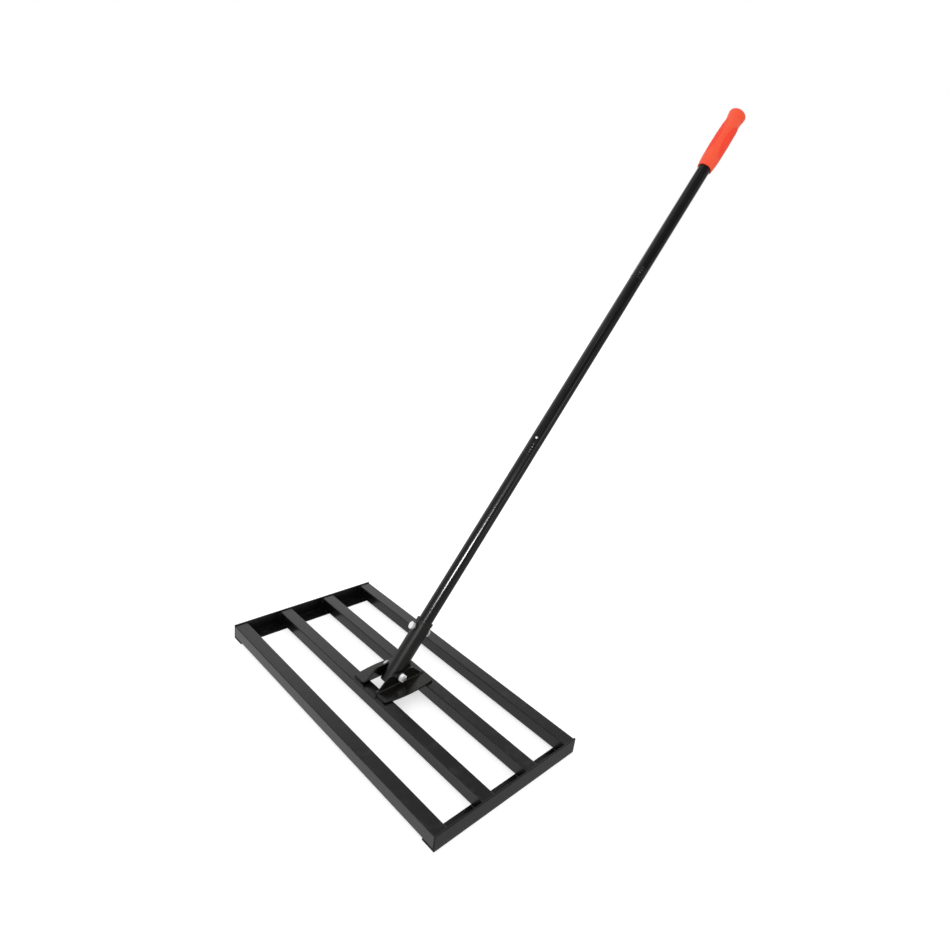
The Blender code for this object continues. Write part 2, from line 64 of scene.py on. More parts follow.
# END RAILS
# Two lengths of rolled angle iron, 3 mm thick, sawn to the depth of the frame. The leg stands
# outside the bars' ends and the flange lies under them. Rails and bars are powder coated in a
# semi-matte black with a fine, slightly leathery grain.
RAIL_WALL = 0.003
RAIL_FLANGE = 0.027
ROLLED_EDGE = 0.0007
INNER_FILLET = 0.0009
SAWN_EDGE = 0.00025
SAWN_ROUGHNESS = 0.55
NEAR = 0.0001
DOUBLED = 0.000005
FRAME_BLACK = (0.0024, 0.0023, 0.0025, 1)
FRAME_BLACK_PALE = (0.0044, 0.0042, 0.0046, 1)
RUBBED_COAT = (0.050, 0.050, 0.052, 1)
SOIL_DUST = (0.060, 0.056, 0.050, 1)


class Wire:
    """A socket of a finish's nodes. Sums and products of wires add Math nodes; node() adds any
    other."""

    def __init__(self, tree, socket=None):
        self.tree = tree
        self.socket = socket

    def feed(self, made, values):
        for key, value in values.items():
            if isinstance(value, Wire):
                self.tree.links.new(value.socket, made.inputs[key])
            else:
                made.inputs[key].default_value = value

    def node(self, kind, settings, values, output=0):
        made = self.tree.nodes.new(kind)
        for key, value in settings.items():
            setattr(made, key, value)
        self.feed(made, values)
        return Wire(self.tree, made.outputs[output])

    def maths(self, operation, *values):
        return self.node("ShaderNodeMath", {"operation": operation}, dict(enumerate(values)))

    def __add__(self, other):
        return self.maths("ADD", self, other)

    def __sub__(self, other):
        return self.maths("SUBTRACT", self, other)

    def __rsub__(self, other):
        return self.maths("SUBTRACT", other, self)

    def __mul__(self, other):
        return self.maths("MULTIPLY", self, other)

    __radd__ = __add__
    __rmul__ = __mul__

    def step(self, low, high):
        """0 below low, 1 above high, smooth between; with low above high it falls."""
        return self.node("ShaderNodeMapRange", {"interpolation_type": "SMOOTHSTEP"},
                         {"Value": self, "From Min": low, "From Max": high})

    def colours(self, first, second):
        """The first colour where this mask is 0, the second where it is 1."""
        return self.node("ShaderNodeMix", {"data_type": "RGBA"}, {0: self, 6: first, 7: second}, 2)


def new_finish(name):
    """An empty finish: its material, a wire to start from, and its shader."""
    material = bpy.data.materials.new(name)
    material.use_nodes = True
    return material, Wire(material.node_tree), material.node_tree.nodes["Principled BSDF"]


def grain(wire, place, scale, detail=2.0, roughness=0.5):
    """Noise over a place, scale in lumps per metre."""
    return wire.node("ShaderNodeTexNoise", {},
                     {"Vector": place, "Scale": scale, "Detail": detail, "Roughness": roughness})


def powder_coat(name, black, pale, dullness, lumps):
    """Sprayed and baked black: cloudy tone, leathery grain, rubbed edges, dull sawn ends, and
    dust where it faces up."""
    material, wire, shader = new_finish(name)
    place = wire.node("ShaderNodeTexCoord", {}, {}, "Object")
    clouds = grain(wire, place, 13, 4, 0.6)
    leather = grain(wire, place, 620, 3, 0.55)
    orange_peel = grain(wire, place, 150, 2)
    specks = grain(wire, place, 1900, 1).step(0.66, 0.74)
    smears = grain(wire, place, 46, 5, 0.7).step(0.52, 0.74)
    facing = wire.node("ShaderNodeNewGeometry", {}, {}, "Normal")
    upward = wire.node("ShaderNodeSeparateXYZ", {}, {"Vector": facing}, "Z").step(0.75, 0.98)
    rubbed = wire.node("ShaderNodeAttribute", {"attribute_name": "rubbed"}, {}, "Fac")
    sawn = wire.node("ShaderNodeAttribute", {"attribute_name": "sawn"}, {}, "Fac")
    worn = rubbed * grain(wire, place, 120, 4, 0.7).step(0.42, 0.72)
    colour = clouds.step(0.35, 0.68).colours(black, pale)
    colour = (upward * smears * 0.16 + specks * upward * 0.30).colours(colour, SOIL_DUST)
    colour = (worn * 0.30).colours(colour, RUBBED_COAT)
    roughness = (dullness + 0.07 * (clouds - 0.5) + 0.14 * upward * smears
                 + 0.10 * (leather - 0.5) - 0.02 * worn + SAWN_ROUGHNESS * sawn)
    relief = leather * lumps + orange_peel * 0.5
    bump = wire.node("ShaderNodeBump", {},
                     {"Strength": 0.55, "Distance": 0.00009, "Height": relief})
    wire.feed(shader, {"Base Color": colour, "Roughness": roughness, "Normal": bump})
    return material


def begin(primitive, name, scale=(1, 1, 1), **options):
    """A new primitive at its size and place, with nothing else selected."""
    bpy.ops.object.select_all(action="DESELECT")
    primitive(**options)
    piece = bpy.context.object
    piece.scale = scale
    piece.name = name
    piece.data.name = name
    bpy.ops.object.transform_apply(location=True, rotation=True, scale=True)
    return piece


def block(name, low, high):
    """A primitive cube from its lowest to its highest corner."""
    low, high = Vector(low), Vector(high)
    return begin(bpy.ops.mesh.primitive_cube_add, name, size=1, location=(low + high) / 2,
                 scale=high - low)


def hold(piece):
    """Makes the piece the only one selected."""
    bpy.ops.object.select_all(action="DESELECT")
    piece.select_set(True)
    bpy.context.view_layer.objects.active = piece


def pick(kind, test):
    """In edit mode, selects only what passes the test: FACE by middle and normal, EDGE by middle,
    direction and the angle that it bends by, VERT by place."""
    bpy.context.tool_settings.mesh_select_mode = (kind == "VERT", kind == "EDGE", kind == "FACE")
    bpy.ops.mesh.select_all(action="DESELECT")
    mesh = bmesh.from_edit_mesh(bpy.context.object.data)
    mesh.normal_update()
    if kind == "FACE":
        chosen = [f for f in mesh.faces if test(f.calc_center_median(), f.normal)]
    elif kind == "EDGE":
        chosen = [e for e in mesh.edges
                  if test((e.verts[0].co + e.verts[1].co) / 2,
                          (e.verts[1].co - e.verts[0].co).normalized(),
                          math.degrees(e.calc_face_angle(0.0)))]
    else:
        chosen = [v for v in mesh.verts if test(v.co)]
    for item in chosen:
        item.select_set(True)
    mesh.select_flush_mode()
    bmesh.update_edit_mesh(bpy.context.object.data)


def mark(name):
    """Marks the selected faces under a name that a finish reads."""
    mesh = bmesh.from_edit_mesh(bpy.context.object.data)
    layer = mesh.faces.layers.float.get(name) or mesh.faces.layers.float.new(name)
    for face in mesh.faces:
        if face.select:
            face[layer] = 1.0
    bmesh.update_edit_mesh(bpy.context.object.data)


def soften(width, segments=2, rubbed=True):
    """Rounds the selected edges; the new faces are marked as rubbed, where coats wear first."""
    bpy.ops.mesh.bevel(offset=width, offset_type="OFFSET", segments=segments, profile=0.5,
                       clamp_overlap=True)
    if rubbed:
        mark("rubbed")


def seal(piece, angle=32):
    """Merges doubled corners, turns all faces outwards and shades rounds smooth."""
    hold(piece)
    bpy.ops.object.mode_set(mode="EDIT")
    pick("VERT", lambda place: True)
    bpy.ops.mesh.remove_doubles(threshold=DOUBLED)
    bpy.ops.mesh.normals_make_consistent(inside=False)
    bpy.ops.object.mode_set(mode="OBJECT")
    bpy.ops.object.shade_smooth_by_angle(angle=math.radians(angle))
    return piece


def fit(piece, material, slot, body, *nodes):
    """The piece gets its finish, moves with its body and stands for its CAD nodes. Weighted normals
    keep its flats and long walls true beside their small rounds."""
    piece.data.materials.clear()
    piece.data.materials.append(material)
    hold(piece)
    piece.modifiers.new("true", "WEIGHTED_NORMAL").keep_sharp = True
    bpy.ops.object.modifier_apply(modifier="true")
    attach(piece, body)
    if nodes:
        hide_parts(*nodes)


frame_coat = powder_coat("frame_powder_coat", FRAME_BLACK, FRAME_BLACK_PALE, dullness=0.29,
                         lumps=1.0)

for side, outward in (("right", 1), ("left", -1)):
    low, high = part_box(f"end_rail_{side}")
    outside = high.x if outward > 0 else low.x
    inside = outside - outward * RAIL_WALL
    toe = outside - outward * RAIL_FLANGE
    rail = block(f"{side}_end_rail", (min(outside, inside), low.y, low.z),
                 (max(outside, inside), high.y, high.z))
    bpy.ops.object.mode_set(mode="EDIT")
    bpy.ops.mesh.select_all(action="SELECT")
    bpy.ops.mesh.bisect(plane_co=(0, 0, RAIL_WALL), plane_no=(0, 0, 1))
    pick("FACE", lambda middle, normal: normal.x * outward < -0.9 and middle.z < RAIL_WALL)
    bpy.ops.mesh.extrude_region_move(TRANSFORM_OT_translate={"value": (toe - inside, 0, 0)})
    pick("EDGE", lambda middle, along, bend: bend > 80 and abs(along.y) > 0.9
         and abs(middle.x - inside) < NEAR and abs(middle.z - RAIL_WALL) < NEAR)
    soften(INNER_FILLET, segments=4, rubbed=False)
    pick("EDGE", lambda middle, along, bend: bend > 80 and abs(along.y) > 0.9)
    soften(ROLLED_EDGE, segments=4)
    pick("EDGE", lambda middle, along, bend: bend > 60 and abs(along.y) < 0.1
         and min(middle.y - low.y, high.y - middle.y) < NEAR)
    soften(SAWN_EDGE)
    pick("FACE", lambda middle, normal: abs(normal.y) > 0.9)
    mark("sawn")
    bpy.ops.object.mode_set(mode="OBJECT")
    fit(seal(rail), frame_coat, "frame_black", "drag_frame", f"end_rail_{side}")


# LONG BARS
# Four square tubes of 24 mm with a 1.5 mm wall, cold formed, so their long corners are round.
# They are cut to sit between the rails' legs, on the flanges, and are open at both ends.
BAR_WALL = 0.0015
BAR_CORNER = 0.0018


def copy_of(stock, name):
    """A new piece with the stock's shape."""
    piece = bpy.data.objects.new(name, stock.data.copy())
    bpy.context.scene.collection.objects.link(piece)
    return piece


bar_boxes = [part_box(f"long_bar_{number}") for number in (1, 2, 3, 4)]
low, high = bar_boxes[0]
first_bar = block("bar_stock", low, high)
bpy.ops.object.mode_set(mode="EDIT")
pick("EDGE", lambda middle, along, bend: abs(along.x) > 0.9)
soften(BAR_CORNER, segments=6)
pick("FACE", lambda middle, normal: abs(normal.x) > 0.9)
bpy.ops.mesh.inset(thickness=BAR_WALL)
bpy.ops.mesh.bridge_edge_loops()
bpy.ops.object.mode_set(mode="OBJECT")
seal(first_bar)
for number, (bar_low, bar_high) in enumerate(bar_boxes, start=1):
    bar = copy_of(first_bar, f"bar_{number}")
    bar.data.transform(Matrix.Translation(bar_low - low))
    fit(bar, frame_coat, "frame_black", "drag_frame", f"long_bar_{number}")
bpy.data.objects.remove(first_bar, do_unlink=True)


# FRAME WELDS
# Short fillet beads in the corners between each bar and the rails: one up the leg and one
# along the flange, on every side of a bar that isn't flush with the rail's end. Coated over.
BEAD_RADIUS = 0.0021
BEAD_SINK = 0.0008
BEAD_LENGTH = 0.0205
BEAD_LIFT = 0.0015
RIPPLE = 0.0016
RIPPLE_SWELL = 0.05
RIPPLE_NECK = 0.86
FLUSH = 0.001
POINT = 0.00002
LEVEL = 0.000001


def draw_up(name, rings, sides):
    """A round shape pulled up from a circle: each next ring of (radius, height) is extruded to
    its height and resized. The last ring may come back to the first, and an end ring of radius
    POINT is closed to one corner."""
    radius, height = rings[0]
    piece = begin(bpy.ops.mesh.primitive_circle_add, name, vertices=sides, radius=radius,
                  location=(0, 0, height))
    bpy.ops.object.mode_set(mode="EDIT")
    pick("VERT", lambda place: True)
    for (before, start), (after, end) in zip(rings, rings[1:]):
        bpy.ops.mesh.extrude_region_move(TRANSFORM_OT_translate={"value": (0, 0, end - start)})
        bpy.ops.transform.resize(value=(after / before, after / before, 1),
                                 center_override=(0, 0, end))
    for radius, height in (rings[0], rings[-1]):
        if radius < NEAR:
            pick("VERT", lambda place: abs(place.z - height) < LEVEL and place.xy.length < NEAR)
            bpy.ops.mesh.merge(type="CENTER")
    bpy.ops.object.mode_set(mode="OBJECT")
    return piece


bead_rings = [(POINT, 0), (BEAD_RADIUS * 0.72, 0.0003)]
for ripple in range(int(BEAD_LENGTH / RIPPLE)):
    swell = BEAD_RADIUS * (1 + RIPPLE_SWELL * math.sin(ripple * 2.3))
    bead_rings.append((swell, RIPPLE * (ripple + 0.45)))
    bead_rings.append((swell * RIPPLE_NECK, RIPPLE * (ripple + 0.95)))
bead_rings.append((POINT, bead_rings[-1][1] + 0.0006))
bead_stock = seal(draw_up("bead_stock", bead_rings, sides=12), angle=60)


def run_beads(name, places, radius_scale=1.0):
    """Copies of the bead, each from a start point along a direction, joined as one run."""
    copies = []
    for start, along in places:
        bead = copy_of(bead_stock, name)
        turn = Vector((0, 0, 1)).rotation_difference(Vector(along)).to_matrix().to_4x4()
        thin = Matrix.Diagonal((radius_scale, radius_scale, 1, 1))
        bead.data.transform(Matrix.Translation(start) @ turn @ thin)
        copies.append(bead)
    hold(copies[0])
    for bead in copies:
        bead.select_set(True)
    bpy.ops.object.join()
    return bpy.context.object


for side, outward in (("right", 1), ("left", -1)):
    low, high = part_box(f"end_rail_{side}")
    leg = (high.x if outward > 0 else low.x) - outward * (RAIL_WALL + BEAD_SINK)
    places = []
    for bar_low, bar_high in bar_boxes:
        for flank, away in ((bar_low.y, -1), (bar_high.y, 1)):
            if low.y + FLUSH < flank < high.y - FLUSH:
                beside = flank + away * BEAD_SINK
                places.append(((leg, beside, bar_low.z + BEAD_LIFT), (0, 0, 1)))
                places.append(((leg, beside, RAIL_WALL + BEAD_SINK), (-outward, 0, 0)))
    fit(run_beads(f"{side}_rail_welds", places), frame_coat, "frame_black", "drag_frame")


# HANDLE BRACKETS
# Two plates sheared from 3 mm sheet and folded square: the foot, bowed at its far edge, is
# welded on the middle bars, and the ear with cropped corners stands beside the socket.
PLATE = 0.003
FOLD = 0.006
EAR_BASE = 0.046
EAR_TOP = 0.026
EAR_CROP = 0.00326
FOOT_BOW = 0.0045
FOOT_CORNER = 0.003
BOLT_HOLE = 0.0043
SHEARED_EDGE = 0.00045
PLATE_BIT = 0.02
BRACKET_BLACK = (0.0026, 0.0024, 0.0022, 1)
BRACKET_BLACK_PALE = (0.0066, 0.0062, 0.0050, 1)

bracket_coat = powder_coat("bracket_powder_coat", BRACKET_BLACK, BRACKET_BLACK_PALE,
                           dullness=0.24, lumps=0.5)


def cut(piece, tool, operation="DIFFERENCE"):
    """Drills or trims the piece with a tool shape, which is then put away."""
    change = piece.modifiers.new("cut", "BOOLEAN")
    change.operation = operation
    change.object = tool
    change.solver = "EXACT"
    hold(piece)
    bpy.ops.object.modifier_apply(modifier=change.name)
    bpy.data.objects.remove(tool, do_unlink=True)


def drill_bit(radius, length, place, turn):
    """A round tool of that length through a place, turned from upright."""
    return begin(bpy.ops.mesh.primitive_cylinder_add, "bit", vertices=48, radius=radius,
                 depth=length, location=place, rotation=turn)


low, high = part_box("handle_bracket_right")
pivot_low, pivot_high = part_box("pivot_nut_washer")
pivot = (pivot_low + pivot_high) / 2
middle_y = (low.y + high.y) / 2
half = (high.y - low.y) / 2
foot_edge = high.x - FOOT_BOW
ear_height = high.z - low.z
plate = begin(bpy.ops.mesh.primitive_plane_add, "bracket_stock", size=1,
              location=((low.x + FOLD + foot_edge) / 2, 0, 0),
              scale=(foot_edge - low.x - FOLD, 2 * half, 1))
bpy.ops.object.mode_set(mode="EDIT")
for shoulder in (-EAR_BASE, EAR_BASE):
    bpy.ops.mesh.select_all(action="SELECT")
    bpy.ops.mesh.bisect(plane_co=(0, shoulder, 0), plane_no=(0, 1, 0))
pick("EDGE", lambda middle, along, bend: abs(middle.x - foot_edge) < NEAR)
bpy.ops.mesh.subdivide(number_cuts=7)
for corner in bmesh.from_edit_mesh(plate.data).verts:
    if abs(corner.co.x - foot_edge) < NEAR:
        share = (corner.co.y + half - FOOT_CORNER) / (2 * (half - FOOT_CORNER))
        corner.co.x += FOOT_BOW * 4 * max(0.0, share * (1 - share))
pick("VERT", lambda place: abs(place.x - foot_edge) < NEAR and abs(abs(place.y) - half) < NEAR)
bpy.ops.mesh.bevel(offset=FOOT_CORNER, offset_type="OFFSET", segments=5, affect="VERTICES")
pick("EDGE", lambda middle, along, bend: abs(middle.x - low.x - FOLD) < NEAR
     and abs(along.y) > 0.9)
bpy.ops.mesh.spin(steps=8, angle=math.pi / 2, center=(low.x + FOLD, 0, FOLD), axis=(0, -1, 0))
pick("EDGE", lambda middle, along, bend: abs(middle.z - FOLD) < NEAR and abs(middle.y) < EAR_BASE)
bpy.ops.mesh.extrude_region_move(TRANSFORM_OT_translate={"value": (0, 0, ear_height - FOLD)})
bpy.ops.transform.resize(value=(1, EAR_TOP / EAR_BASE, 1), center_override=(low.x, 0, ear_height))
pick("VERT", lambda place: place.z > ear_height - NEAR)
bpy.ops.mesh.bevel(offset=EAR_CROP, offset_type="OFFSET", segments=6, affect="VERTICES")
bpy.ops.object.mode_set(mode="OBJECT")
thicken = plate.modifiers.new("plate", "SOLIDIFY")
thicken.thickness = PLATE
thicken.offset = 1
thicken.use_even_offset = True
bpy.ops.object.modifier_apply(modifier="plate")
seal(plate)
bpy.ops.object.mode_set(mode="EDIT")
pick("EDGE", lambda middle, along, bend: bend > 50)
soften(SHEARED_EDGE)
bpy.ops.object.mode_set(mode="OBJECT")
cut(plate, drill_bit(BOLT_HOLE, PLATE_BIT, (low.x + PLATE / 2, 0, pivot.z - low.z),
                     (0, math.pi / 2, 0)))
seal(plate)
for side, turn in (("right", 0), ("left", math.pi)):
    bracket = copy_of(plate, f"{side}_handle_bracket")
    bracket.data.transform(Matrix.Translation((0, middle_y, low.z)) @ Matrix.Rotation(turn, 4, "Z"))
    fit(bracket, bracket_coat, "frame_black", "drag_frame", f"handle_bracket_{side}")
bpy.data.objects.remove(plate, do_unlink=True)


# BRACKET WELDS
# Each foot is held by one slim bead along either sheared end, on top of the bar.
FOOT_BEAD_START = 0.0012
FOOT_BEAD_OUT = 0.0004
FOOT_BEAD_UP = 0.0003
FOOT_BEAD_SLIMNESS = 0.8

foot_welds = []
for outward in (1, -1):
    for end in (1, -1):
        start = (outward * (low.x + FOLD + FOOT_BEAD_START),
                 middle_y + end * (half + FOOT_BEAD_OUT), bar_high.z + FOOT_BEAD_UP)
        foot_welds.append((start, (outward, 0, 0)))
fit(run_beads("bracket_welds", foot_welds, FOOT_BEAD_SLIMNESS), bracket_coat, "frame_black",
    "drag_frame")
bpy.data.objects.remove(bead_stock, do_unlink=True)


# PIVOT BOLT
# An M8 hexagon bolt through both ears and the socket: bright zinc with a cloudy, faintly blue
# bloom. Its nut is frostier. The washers under head and nut are guesses, in black zinc.
ACROSS_FLATS = 0.013
HEAD_HEIGHT = 0.0053
HEAD_OVERLAP = 0.001
CHAMFER_RIM = 0.94
CHAMFER_SLOPE = 0.58
BOLT_RADIUS = 0.00398
THREAD_ROOT = 0.0034
THREAD_PITCH = 0.00125
NUT_BORE = 0.0041
NUT_TURN = math.radians(47)
THREAD_BEFORE_NUT = 0.006
ZINC_COOL = (0.84, 0.87, 0.92, 1)
ZINC_WARM = (0.90, 0.88, 0.83, 1)
ZINC_STAIN = (0.50, 0.50, 0.48, 1)
ZINC_DULLNESS = 0.14
FROSTED_METAL = 0.52
BLACK_ZINC = (0.050, 0.050, 0.052, 1)
BLACK_ZINC_PALE = (0.090, 0.090, 0.088, 1)


def zinc_plate(name, cool, warm, dullness, metal=0.90):
    """Plated steel: cloudy between two tints, faintly drawn, with dull stains. Less metal makes
    it frostier."""
    material, wire, shader = new_finish(name)
    place = wire.node("ShaderNodeTexCoord", {}, {}, "Object")
    bloom = grain(wire, place, 260, 4, 0.65)
    drawn = grain(wire, place, 1500, 3, 0.6)
    stains = grain(wire, place, 420, 2).step(0.60, 0.78)
    colour = bloom.step(0.32, 0.66).colours(cool, warm)
    colour = (stains * 0.4).colours(colour, ZINC_STAIN)
    bump = wire.node("ShaderNodeBump", {},
                     {"Strength": 0.4, "Distance": 0.00004, "Height": drawn + bloom})
    wire.feed(shader, {"Base Color": colour, "Metallic": metal - 0.20 * bloom, "Normal": bump,
                       "Roughness": dullness + 0.12 * bloom + 0.16 * stains})
    return material


def hexagon_blank(name, foot, top, chamfer_foot, bore=None):
    """A hexagon from foot to top, its corners turned off at the top and, for a nut, at the foot."""
    corner = ACROSS_FLATS / 2 / math.cos(math.pi / 6)
    rim = ACROSS_FLATS / 2 * CHAMFER_RIM
    drop = (corner - rim) * CHAMFER_SLOPE
    clear = corner * 1.001
    blank = begin(bpy.ops.mesh.primitive_cylinder_add, name, vertices=6, radius=corner,
                  depth=top - foot, location=(0, 0, (foot + top) / 2),
                  rotation=(0, 0, math.pi / 6))
    turning = [(POINT, foot)] + ([(rim, foot), (clear, foot + drop)] if chamfer_foot
                                 else [(clear, foot)])
    turning += [(clear, top - drop), (rim, top), (POINT, top)]
    cut(blank, seal(draw_up("turning", turning, sides=72)), "INTERSECT")
    if bore:
        wide = bore * 1.3
        countersunk = [(POINT, foot - 0.001), (wide, foot - 0.001), (bore, foot + 0.0006),
                       (bore, top - 0.0006), (wide, top + 0.001), (POINT, top + 0.001)]
        cut(blank, seal(draw_up("countersink", countersunk, sides=48)))
    return seal(blank, angle=25)


def bolt_shank(name, foot, thread_start, tip):
    """Round shank with rolled thread rings up to a chamfered tip."""
    rings = [(POINT, foot), (BOLT_RADIUS, foot), (BOLT_RADIUS, thread_start)]
    height = thread_start
    while height + THREAD_PITCH < tip - 0.0007:
        for radius, share in ((THREAD_ROOT, 0.42), (THREAD_ROOT, 0.55), (BOLT_RADIUS, 0.92),
                              (BOLT_RADIUS, 1)):
            rings.append((radius, height + THREAD_PITCH * share))
        height += THREAD_PITCH
    rings += [(BOLT_RADIUS, tip - 0.0006), (THREAD_ROOT, tip), (POINT, tip)]
    return seal(draw_up(name, rings, sides=40))


def washer(name, outer, foot, top):
    """A flat ring with its outer edge rounded."""
    rounding = 0.0002
    bore = NUT_BORE + rounding
    rings = [(bore, foot), (outer - rounding, foot), (outer, foot + rounding),
             (outer, top - rounding), (outer - rounding, top), (bore, top), (bore, foot)]
    return seal(draw_up(name, rings, sides=56))


def put(piece, place):
    """Moves a finished mesh into the object's frame."""
    piece.data.transform(place)
    return piece


def join(name, *parts):
    """Makes one piece of several."""
    hold(parts[0])
    for part in parts:
        part.select_set(True)
    bpy.ops.object.join()
    bpy.context.object.name = name
    return bpy.context.object


zinc = zinc_plate("bright_zinc_plate", ZINC_COOL, ZINC_WARM, ZINC_DULLNESS)
frosted_zinc = zinc_plate("frosted_zinc_plate", ZINC_COOL, ZINC_WARM, ZINC_DULLNESS, FROSTED_METAL)
black_zinc = zinc_plate("black_zinc_plate", BLACK_ZINC, BLACK_ZINC_PALE, dullness=0.40)
pivot_line = Matrix.Translation((0, pivot.y, pivot.z)) @ Matrix.Rotation(math.pi / 2, 4, "Y")
bolt_low, bolt_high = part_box("pivot_bolt")
nut_low, nut_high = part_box("pivot_nut")
head = hexagon_blank("pivot_bolt_head", -(bolt_low.x + HEAD_HEIGHT), -bolt_low.x,
                     chamfer_foot=False)
head.data.transform(Matrix.Rotation(math.pi, 4, "X"))
shank = bolt_shank("pivot_bolt_shank", bolt_low.x + HEAD_HEIGHT - HEAD_OVERLAP,
                   nut_low.x - THREAD_BEFORE_NUT, bolt_high.x)
fit(put(join("pivot_hexagon_bolt", head, shank), pivot_line), zinc, "zinc", "drag_frame",
    "pivot_bolt")
nut = hexagon_blank("pivot_hexagon_nut", nut_low.x, nut_high.x, chamfer_foot=True, bore=NUT_BORE)
nut.data.transform(Matrix.Rotation(NUT_TURN, 4, "Z"))
fit(put(nut, pivot_line), frosted_zinc, "zinc", "drag_frame", "pivot_nut")
for node in ("pivot_head_washer", "pivot_nut_washer"):
    low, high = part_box(node)
    ring = washer(node.replace("pivot", "round"), (high.z - low.z) / 2, low.x, high.x)
    fit(put(ring, pivot_line), black_zinc, "zinc", "drag_frame", node)


# HANDLE SOCKET
# A short thick-walled steel tube that swings on the pivot bolt. Its mouth has a low rolled
# lip, and the handle's lower tube is pushed into it. Coated like the brackets, a little duller.
HANDLE_LEAN = math.radians(53.7)
SOCKET_BORE = 0.0135
SOCKET_RADIUS = 0.0155
SOCKET_TAIL = -0.022
SOCKET_MOUTH = 0.104
LIP_HEIGHT = 0.006
LIP_RISE = 0.0006
CLAMP_STATION = 0.0853
CLAMP_TURN = math.radians(-14.7)
THROUGH_BIT = 0.06

on_handle = (Matrix.Translation((0, pivot.y, pivot.z))
             @ Matrix.Rotation(HANDLE_LEAN - math.pi / 2, 4, "X"))
clamp_turn = (-math.pi / 2, 0, CLAMP_TURN)
lip = SOCKET_RADIUS + LIP_RISE
lip_foot = SOCKET_MOUTH - LIP_HEIGHT
socket_rings = [
    (SOCKET_BORE + 0.0003, SOCKET_TAIL), (SOCKET_RADIUS - 0.0004, SOCKET_TAIL),
    (SOCKET_RADIUS - 0.0001, SOCKET_TAIL + 0.0001), (SOCKET_RADIUS, SOCKET_TAIL + 0.0004),
    (SOCKET_RADIUS, lip_foot - 0.0014), (SOCKET_RADIUS + 0.0001, lip_foot - 0.0007),
    (lip - 0.0001, lip_foot), (lip, lip_foot + 0.0006), (lip, SOCKET_MOUTH - 0.0007),
    (lip - 0.0002, SOCKET_MOUTH - 0.0002), (lip - 0.0007, SOCKET_MOUTH),
    (SOCKET_BORE + 0.0003, SOCKET_MOUTH), (SOCKET_BORE, SOCKET_MOUTH - 0.0004),
    (SOCKET_BORE, SOCKET_TAIL + 0.0004), (SOCKET_BORE + 0.0003, SOCKET_TAIL),
]
socket = seal(draw_up("socket_tube", socket_rings, sides=96))
cut(socket, drill_bit(BOLT_HOLE, THROUGH_BIT, (0, 0, 0), (0, math.pi / 2, 0)))
cut(socket, drill_bit(BOLT_HOLE, THROUGH_BIT, (0, 0, CLAMP_STATION), clamp_turn))
socket_coat = powder_coat("socket_powder_coat", BRACKET_BLACK, BRACKET_BLACK_PALE,
                          dullness=0.34, lumps=0.3)
fit(put(seal(socket), on_handle), socket_coat, "frame_black", "handle", "handle_socket")


# CLAMP BOLT
# The bolt that holds the handle in its socket: its hexagon head on one side, a thin nut on the
# other, both bright zinc. The washer under the head is a guess, in black zinc.
THIN_NUT = 0.004
CLAMP_WASHER = 0.0016
CLAMP_WASHER_RADIUS = 0.0085
CLAMP_THREAD = 0.004
CLAMP_OVERHANG = 0.0008
SEAT = 0.0003

clamp_line = on_handle @ Matrix.Translation((0, 0, CLAMP_STATION)) @ (
    Matrix.Rotation(CLAMP_TURN, 4, "Z") @ Matrix.Rotation(-math.pi / 2, 4, "X"))
face = SOCKET_RADIUS + SEAT
head_seat = face + CLAMP_WASHER + SEAT
head = hexagon_blank("clamp_bolt_head", head_seat, head_seat + HEAD_HEIGHT, chamfer_foot=False)
head.data.transform(Matrix.Rotation(math.pi, 4, "X"))
tip = face + THIN_NUT + CLAMP_OVERHANG
shank = bolt_shank("clamp_bolt_shank", -head_seat - HEAD_OVERLAP, SOCKET_RADIUS - CLAMP_THREAD, tip)
fit(put(join("clamp_hexagon_bolt", head, shank), clamp_line), zinc, "zinc", "handle", "clamp_bolt")
ring = washer("round_clamp_washer", CLAMP_WASHER_RADIUS, -face - CLAMP_WASHER, -face)
fit(put(ring, clamp_line), black_zinc, "zinc", "handle", "clamp_washer")
thin_nut = hexagon_blank("clamp_thin_nut", face, face + THIN_NUT, chamfer_foot=True, bore=NUT_BORE)
fit(put(thin_nut, clamp_line), zinc, "zinc", "handle", "clamp_nut")


# HANDLE TUBES
# Three steel tubes of 26 mm. Each upper one sleeves over the drawn-in end of the one below and
# has four shallow rings rolled into its foot. Sprayed in gloss black.
TUBE_RADIUS = 0.013
TUBE_BORE = 0.0118
SPIGOT_RADIUS = 0.0115
SPIGOT_BORE = 0.0103
SPIGOT_LENGTH = 0.060
RING_PITCH = 0.0058
RING_DEPTH = 0.0004
RING_HALF = 0.0013
FIRST_RING = 0.0035
RING_COUNT = 4
TUBES = (("lower", 0.024, 0.439, False, True), ("middle", 0.4633, 0.419, True, True),
         ("upper", 0.8826, 0.425, True, False))
BUTTON_STATION = 0.0357
BUTTON_HOLE = 0.0029
WALL_BIT = 0.014
BUTTONS = (("lower", "lower", "middle", math.radians(25)), ("upper", "middle", "upper", math.pi))
GLOSS_BLACK = (0.0016, 0.0016, 0.0018, 1)
GLOSS_BLACK_PALE = (0.0032, 0.0031, 0.0031, 1)
BARE_STEEL = (0.115, 0.108, 0.100, 1)


